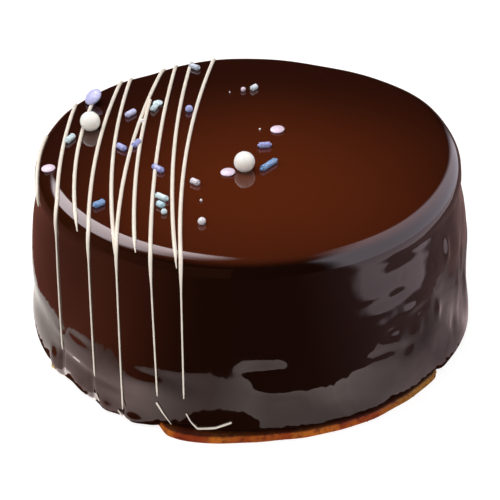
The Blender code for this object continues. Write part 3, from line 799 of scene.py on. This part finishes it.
# %% Pearl finish and pearls
PEARL_RADIUS, PEARL_SINK, PEARL_INSET = 3.5, 0.5, 0.03
pearly = Finish("sugar pearl", 0.28, ior=1.5)
pearly.colour(pearly.mix(pearly.noise(2.2), (0.90, 0.85, 0.78), (0.95, 0.92, 0.88)))
pearly.roughness(pearly.noise(0.8), 0.22, 0.36)
pearly.bump(pearly.noise(0.9), 0.05)
pearly.shade({"Subsurface Weight": 0.6, "Subsurface Radius": (1.0, 0.85, 0.7),
              "Subsurface Scale": 5 * MM})
for node, (x, y) in {"pearl_edge": (-54.1, 14.9), "pearl_centre": (-1.1, -15.3)}.items():
    ball = flat_ball(node + " ball", 6)
    ball.data.transform(Matrix.Translation(Vector((x, y, CAKE_HEIGHT + PEARL_RADIUS - PEARL_SINK)) * MM)
                        @ Matrix.Scale(PEARL_RADIUS - PEARL_INSET, 4))
    polish = Tree("polished pearl")
    waves = polish.noise(polish.size("Flat size", 3 * MM), polish.size("Seed", 2.0), 0.0)
    flats = polish.math("MULTIPLY", waves, polish.size("Flat depth", 0.05 * MM))
    polish.finish(polish.push(polish.start.outputs["Geometry"], flats), pearly.material)
    pearl = polish.run(ball, node + "_ball")
    finish_piece(pearl, node)

# %% [markdown]
# ## The biscuit base
# The cake stands on a thin disc of golden biscuit. Only its rim shows, where the glaze stopped short at the
# front. It is a turned disc with a crumbly edge, and Geometry Nodes scatters small crumbs over the rim,
# because a baked edge is torn rather than smooth. Its colour runs from honey to deep caramel.

# %% Baked biscuit
CARAMEL, HONEY, GOLD = (0.25, 0.030, 0.002), (0.45, 0.118, 0.007), (0.32, 0.140, 0.017)
STRAW, CRUST, UNDER_LIP_PAINTED_SHADE = (0.78, 0.60, 0.22), (0.10, 0.010, 0.001), (0.018, 0.005, 0.003)
PEEK_SPOT = (-67 * MM, -36.5 * MM, 1 * MM)

baked = Finish("golden biscuit", 0.5, ior=1.3)
crumb = baked.noise(1.6, detail=5.0)
patches = baked.noise(9, detail=2.0, stretch=(1, 1, 0.3))
honey = baked.mix(baked.spread(patches, 0.38, 0.62), CARAMEL, HONEY)
golden = baked.mix(baked.spread(baked.along((1, 0, 0)), 36 * MM, 56 * MM), honey, GOLD)
golden = baked.mix(baked.spread(baked.distance(PEEK_SPOT), 4 * MM, 9 * MM), STRAW, golden)
crust = baked.mix(baked.spread(crumb, 0.30, 0.55, 0.30, 1.0), CRUST, golden)
# Painted shade: the top of the rim, right under the glaze's lip, darkens to a dark brown where the gap lies
# in shade.
under_lip_painted_shade = baked.spread(baked.along((0, 0, 1)), 2.45 * MM, 2.8 * MM, 0.0, 0.85)
baked.colour(baked.mix(under_lip_painted_shade, crust, UNDER_LIP_PAINTED_SHADE))
baked.shade({"Specular IOR Level": 0.3})
baked.roughness(crumb, 0.62, 0.34)
baked.bump(baked.noise(0.6, detail=4.0), 0.18)

# %% The disc
DISC_AROUND = 480
azimuths = np.arange(DISC_AROUND) * 360 / DISC_AROUND
a = np.radians(azimuths)
crumbling = 0.12 * np.sin(11 * a) + 0.10 * np.sin(23 * a + 1) + 0.08 * np.sin(37 * a + 2)
bulge_at, bulge_half, bulge = BARE_RIM_BULGE
ledge = BARE_RIM_LEDGE + bulge * bell(turned(azimuths, bulge_at) / bulge_half)
edge = BISCUIT_RADIUS + crumbling + ledge * bare_rim(azimuths) - 0.1 + 0.5 * bell(turned(azimuths, -68) / 13)
# how far out from the edge, and height
PROFILE = [(-30, 2.8), (-8, 2.8), (-2.5, 2.8), (-0.9, 2.78), (-0.35, 2.62), (-0.08, 2.35), (0, 2.0), (0, 1.6),
           (0, 1.2), (0, 0.8), (-0.1, 0.4), (-0.4, 0.1), (-0.9, 0), (-8, 0), (-30, 0)]
disc_points = [ring_points(edge + outward, azimuths, height) for outward, height in PROFILE]
disc_points = np.concatenate(disc_points + [np.array([[0, 0, BISCUIT_THICKNESS], [0, 0, 0]])])
disc = add_mesh("disc", disc_points, lathe_faces(len(PROFILE), DISC_AROUND))
distance = np.hypot(disc_points[:, 0], disc_points[:, 1])
up = disc_points[:, 2]
store(disc, "rim", smooth((distance - 72) / 2) * smooth((up - 0.45) / 0.6) * smooth((2.82 - up) / 0.3))

# %% Crumbs on the rim
bake = Tree("crumbly rim")
roughen = bake.size("Crumb depth", 0.22 * MM)
crumb_size = bake.size("Crumb size", 1.3 * MM)
density = bake.size("Crumbs per square metre", 1.4e6)
largest = bake.size("Largest crumb", 0.26 * MM)
seed = bake.size("Seed", 4, "NodeSocketInt")
wobble = bake.math("SUBTRACT", bake.noise(crumb_size, seed, 3.0), 0.7)
torn = bake.push(bake.start.outputs["Geometry"],
                 bake.math("MULTIPLY", bake.math("MULTIPLY", wobble, roughen), bake.attribute("rim")))
dots = bake.node("GeometryNodeDistributePointsOnFaces", distribute_method="RANDOM")
bake.put(torn, dots.inputs["Mesh"])
bake.put(bake.math("MULTIPLY", density, bake.attribute("rim")), dots.inputs["Density"])
bake.put(seed, dots.inputs["Seed"])
grain = bake.node("GeometryNodeMeshIcoSphere")
grain.inputs["Subdivisions"].default_value = 1
bake.put(largest, grain.inputs["Radius"])
lay = bake.node("GeometryNodeInstanceOnPoints")
bake.put(dots.outputs["Points"], lay.inputs["Points"])
bake.put(grain.outputs["Mesh"], lay.inputs["Instance"])
pick = bake.node("FunctionNodeRandomValue", data_type="FLOAT")
pick.inputs[2].default_value = 0.4
bake.put(pick.outputs[1], lay.inputs["Scale"])
bake.put(dots.outputs["Rotation"], lay.inputs["Rotation"])
both = bake.node("GeometryNodeJoinGeometry")
bake.put(torn, both.inputs[0])
bake.put(lay.outputs[0], both.inputs[0])
bake.finish(both.outputs[0], baked.material)
biscuit = bake.run(disc, "biscuit_crumb")
finish_piece(biscuit, "biscuit_base")

# %% [markdown]
# ## The studio
# A mirror shows the room, so a glossy cake is lit with what it reflects in mind. The floor is plain and pale,
# and soft lamps make the threads and sprinkles read white. Cards stand where only the glaze sees them: a pale
# disc round the foot gives the grey band, a lavender floor and screen the cool sheen on the right, and a
# window the light on the left edge.


# %% Cards that only the glaze mirrors
def from_table(table, at, column=1):
    """Reads a column of a table whose first column is an azimuth."""
    table = np.array(table, float)
    return np.interp(at, table[:, 0], table[:, column])


def glowing_card(name, points, faces, colours):
    """A card that glows in the colours of its points and shows in reflections alone."""
    card = add_mesh(name, points, faces, smooth_faces=False)
    store(card, "glow", np.hstack([colours, np.ones((len(colours), 1))]), "FLOAT_COLOR")
    material = bpy.data.materials.new(name)
    material.use_nodes = True
    material.node_tree.nodes.clear()
    glow = Nodes(material.node_tree)
    emission = glow.node("ShaderNodeEmission")
    tint = glow.node("ShaderNodeAttribute", attribute_name="glow")
    glow.put(tint.outputs["Color"], emission.inputs["Color"])
    glow.put(emission.outputs[0], glow.node("ShaderNodeOutputMaterial").inputs["Surface"])
    card.data.materials.append(material)
    card.visible_camera = card.visible_diffuse = card.visible_shadow = False
    card.visible_transmission = card.visible_volume_scatter = False
    print("card for the reflections:", name)


def floor_fan(name, reach, height, colours, outer=((-180, 1), (180, 1)), ragged=0.0):
    """A flat disc round the cake. Its reach, its colour and the light of its rim change with the azimuth."""
    around = np.arange(-180, 180, 0.5)
    a = np.radians(around)
    reached = from_table(reach, around) + ragged * (np.sin(61 * a) + np.sin(97 * a + 1) + np.sin(163 * a + 2))
    radii = (FOOT_RADIUS + reached, FOOT_RADIUS + 0.45 * reached, 40.0)
    inner = np.stack([from_table(colours, around, column) for column in (1, 2, 3)], axis=1)
    edge = inner * from_table(outer, around)[:, None]
    glowing_card(name, np.concatenate([ring_points(radius, around, height) for radius in radii]),
                 strips(len(radii), len(around), closed=True), np.concatenate([edge, inner, inner]))


def sky_card(name, azimuths, low_edge, high_edge, reach, colour, soft=(0.1, 0.1, 0.1, 0.1)):
    """A glowing patch of a large dome. Its lower and upper edge are lists of azimuth and elevation. Its light
    fades over some degrees at the first and the last azimuth and at the lower and the upper edge."""
    steps = 45
    azimuth, share = np.meshgrid(np.linspace(*azimuths, steps), np.linspace(0, 1, steps))
    low, high = from_table(low_edge, azimuth), from_table(high_edge, azimuth)
    elevation = low + (high - low) * share
    insets = (azimuth - azimuths[0], azimuths[1] - azimuth, elevation - low, high - elevation)
    lit = math.prod(smooth(inset / width) for inset, width in zip(insets, soft))
    b, e = np.radians(azimuth), np.radians(elevation)
    points = reach * np.stack([np.cos(e) * np.cos(b), np.cos(e) * np.sin(b), np.sin(e)], axis=-1)
    glowing_card(name, points.reshape(-1, 3), strips(steps, steps, closed=False), np.outer(lit, colour))


# %% The pale disc and the table on the floor
# How far the pale disc reaches past the cake, by azimuth, in millimetres
PALE_REACH = [(-180, 22), (-162, 22), (-155, 25), (-147, 32), (-138, 35), (-135, 31), (-130, 28), (-124, 34),
              (-117, 33), (-113, 33), (-108, 35), (-104, 38), (-99, 36), (-96, 42), (-94, 48), (-91, 49),
              (-88, 46), (-85, 44), (-81, 43), (-77, 38), (-74, 33), (-72, 26), (-69, 21), (-65, 19),
              (-62, 21), (-54, 23), (-50, 30), (-47, 39), (-45, 32), (-42, 28), (-36, 31), (-29, 34),
              (-23, 35), (-16, 36), (-10, 49), (-4, 38), (10, 24), (60, 33), (100, 26), (140, 34), (180, 18)]
# azimuth and colour of the light that the disc sends back, and how much brighter it is at its outer edge
PALE_GLOW = [(-180, 1.0, 0.92, 0.87), (-162, 1.0, 0.88, 0.83), (-150, 1.1, 0.88, 0.85),
             (-142, 0.95, 0.72, 0.69), (-136, 1.2, 0.91, 0.87), (-125, 1.9, 1.45, 1.39),
             (-118, 1.6, 1.24, 1.18), (-112, 1.15, 0.89, 0.85), (-108, 0.95, 0.72, 0.68),
             (-103, 0.80, 0.60, 0.56), (-98, 1.0, 0.80, 0.76), (-92, 1.38, 1.13, 1.08),
             (-86, 0.98, 0.80, 0.77), (-79, 1.02, 0.84, 0.81), (-70, 0.97, 0.80, 0.77),
             (-63, 1.03, 0.84, 0.81), (-56, 1.15, 0.93, 0.92), (-45, 0.98, 0.75, 0.76),
             (-30, 0.40, 0.29, 0.31), (-17, 0.42, 0.31, 0.32), (-10, 0.75, 0.57, 0.58),
             (-4, 0.45, 0.33, 0.34), (5, 0.22, 0.16, 0.16), (90, 0.6, 0.5, 0.5), (180, 1.05, 0.98, 0.92)]
PALE_OUTER = [(-180, 0.8), (-160, 0.9), (-150, 0.5), (-140, 0.36), (-125, 0.34), (-115, 0.4), (-105, 0.9),
              (-95, 1.1), (-86, 1.4), (-79, 1.5), (-70, 1.75), (-63, 2.0), (-56, 1.3), (-45, 1.0), (-40, 0.8),
              (0, 0.8), (180, 0.8)]
# How far the dark strip at the foot reaches, where the cake shades the table
SHADE_REACH = [(-180, 2), (-160, 2.5), (-150, 1.5), (-140, 1.8), (-130, 1.8), (-122, 2.5), (-114, 4),
               (-109, 6), (-106.5, 11), (-103, 13.5), (-99, 14.5), (-95, 13.5), (-92, 11), (-88, 5),
               (-84, 4.5), (-78, 4.5), (-70, 4.5), (-62, 4.5), (-58, 5.5), (-54, 5), (-48, 4), (-40, 3.5),
               (-34, 3), (-28, 2), (-20, 1.5), (180, 2)]
# Bright spots at the foot on the left; elsewhere this fan stays under the cake
GLINT_REACH = [(-180, -12), (-150.5, -12), (-149.5, 3.6), (-146.5, 4.2), (-145.5, -12), (-137, -12),
               (-136, 3.4), (-133.5, 3.4), (-132.5, -12), (-125, -12), (-124, 3), (-121, 3), (-120, -12),
               (180, -12)]
# azimuth and colour of the light from the table beyond the disc
TABLE_GLOW = [(-180, 0.24, 0.078, 0.062), (-166, 0.28, 0.085, 0.064), (-155, 0.40, 0.115, 0.078),
              (-138, 0.36, 0.085, 0.050), (-126, 0.24, 0.048, 0.024), (-111, 0.06, 0.014, 0.008),
              (-90, 0.02, 0.006, 0.004), (-70, 0.045, 0.016, 0.014), (-55, 0.16, 0.085, 0.09),
              (-40, 0.31, 0.19, 0.195), (0, 0.33, 0.20, 0.20), (60, 0.20, 0.12, 0.11),
              (120, 0.20, 0.08, 0.06), (180, 0.24, 0.078, 0.062)]
UNLIT = [(-180, 0.05, 0.014, 0.008), (180, 0.05, 0.014, 0.008)]
GLINT = [(-180, 3.0, 2.6, 2.5), (180, 3.0, 2.6, 2.5)]
floor_fan("pale disc", PALE_REACH, 0.3, PALE_GLOW, PALE_OUTER, ragged=0.5)
floor_fan("shade", SHADE_REACH, 0.5, UNLIT, ragged=0.35)
floor_fan("table", [(-180, 1500), (180, 1500)], 0.1, TABLE_GLOW)
floor_fan("glints", GLINT_REACH, 0.7, GLINT)

# %% The lavender floor
# distance from the middle at which the lavender field begins
LAVENDER_EDGE = [(-52, 172), (-48, 164), (-45.7, 158), (-41.8, 147), (-36, 151), (-32, 153), (-27.8, 168),
                 (-22.5, 160), (-16, 152), (-13, 160), (-8, 166), (-4.5, 178), (0, 198), (6, 222), (14, 250),
                 (24, 310), (52, 700), (62, 900)]
LAVENDER, LAVENDER_DARK = (1.45, 1.12, 1.24), (0.24, 0.14, 0.15)
FIELD_FROM, FIELD_TO, FIELD_SIDE = -51, 62, 8
FIELD_SOFTNESS, FIELD_END = 18, 1200.0
around = np.linspace(FIELD_FROM, FIELD_TO, 160)
begins = from_table(LAVENDER_EDGE, around)
sides = smooth((around - FIELD_FROM) / FIELD_SIDE) * smooth((FIELD_TO - around) / FIELD_SIDE)
field = [(begins + FIELD_SOFTNESS * (share - 0.5), smooth(share)) for share in np.linspace(0, 1, 6)]
field.append((FIELD_END, 1.0))
lit = np.concatenate([share * sides for radius, share in field])
colours = np.outer(1 - lit, LAVENDER_DARK) + np.outer(lit, LAVENDER)
glowing_card("lavender floor", np.concatenate([ring_points(radius, around, 0.2) for radius, share in field]),
             strips(len(field), len(around), closed=False), colours)

# %% Screens and window
LEFT_WINDOW = [(92, 62), (95, 58), (97, 52), (100, 45), (104, 39), (107, 34), (110, 32.5), (122, 32.5),
               (140, 32), (150, 38), (164, 44), (174, 48), (186, 54)]
sky_card("lavender screen", (-56, 64), [(-56, -6), (64, -6)],
         [(-56, 62), (-20, 74), (20, 79), (54, 72), (64, 62)],
         1200, (1.95, 1.77, 2.02), soft=(11, 8, 0.1, 14))
sky_card("left window", (92, 186), LEFT_WINDOW, [(92, 76), (101, 78), (112, 82), (186, 84)],
         1150, (7.0, 6.3, 6.6), soft=(10, 30, 3, 26))
sky_card("dim warm wall", (172, 262), [(172, -6), (262, -6)], [(172, 40), (262, 50)],
         1250, (0.16, 0.045, 0.026))


# %% Floor, light and world
def soft_light(name, place, size, watts, colour):
    lamp = bpy.data.lights.new(name, "AREA")
    lamp.shape, lamp.size, lamp.energy, lamp.color = "DISK", size, watts, colour
    made = add_object(name, lamp)
    made.location = place
    made.rotation_euler = (-Vector(place)).to_track_quat("-Z", "Y").to_euler()
    made.visible_glossy = False
    print(name, "gives", watts, "W")


FAR = 6000
floor = add_mesh("floor", [(FAR, FAR, 0), (-FAR, FAR, 0), (-FAR, -FAR, 0), (FAR, -FAR, 0)], [(0, 1, 2, 3)])
paper = Finish("pale floor", 0.9)
paper.shade({"Base Color": (0.32, 0.32, 0.32, 1), "Emission Color": (1, 1, 1, 1), "Emission Strength": 0.84})
floor.data.materials.append(paper.material)
floor.visible_glossy = False

soft_light("overhead", (-0.12, 0.10, 0.62), 0.45, 2.35, (1.0, 0.985, 0.96))
soft_light("left lamp", (-0.62, 0.10, 0.42), 0.4, 1.1, (1.0, 0.97, 0.94))
soft_light("front lamp", (-0.10, -0.72, 0.30), 0.6, 1.4, (1.0, 0.95, 0.93))

world = bpy.data.worlds.new("studio")
scene.world = world
world.use_nodes = True
world.node_tree.nodes["Background"].inputs["Color"].default_value = (1, 1, 1, 1)
world.node_tree.nodes["Background"].inputs["Strength"].default_value = 0.45
world.cycles_visibility.glossy = False
scene.view_settings.view_transform = "Standard"

# %% [markdown]
# ## The camera
# The camera stands a little over half a metre from the cake and looks down at a third of a right angle. The
# picture is turned by about one degree, as a hand-held camera's is. The lens was worked out from the cake's
# outline.

# %% Camera
AIM = Vector((0.14, 0, 22.3)) * MM
DISTANCE, ELEVATION, ROLL = 520 * MM, 33.3, -1.18
FOCAL_PIXELS, PICTURE_PIXELS, SENSOR = 1472, 500, 36
lens = bpy.data.cameras.new("camera")
lens.sensor_width = SENSOR
lens.lens = FOCAL_PIXELS / PICTURE_PIXELS * SENSOR
lens.clip_start, lens.clip_end = 0.01, 50
camera = add_object("camera", lens)
e = math.radians(ELEVATION)
outwards = Vector((0, -math.cos(e), math.sin(e)))
camera.location = AIM + outwards * DISTANCE
look = (-outwards).to_track_quat("-Z", "Y").to_matrix() @ Matrix.Rotation(math.radians(ROLL), 3, "Z")
camera.rotation_euler = look.to_euler()
scene.camera = camera
print("camera at", [round(v, 3) for v in camera.location])
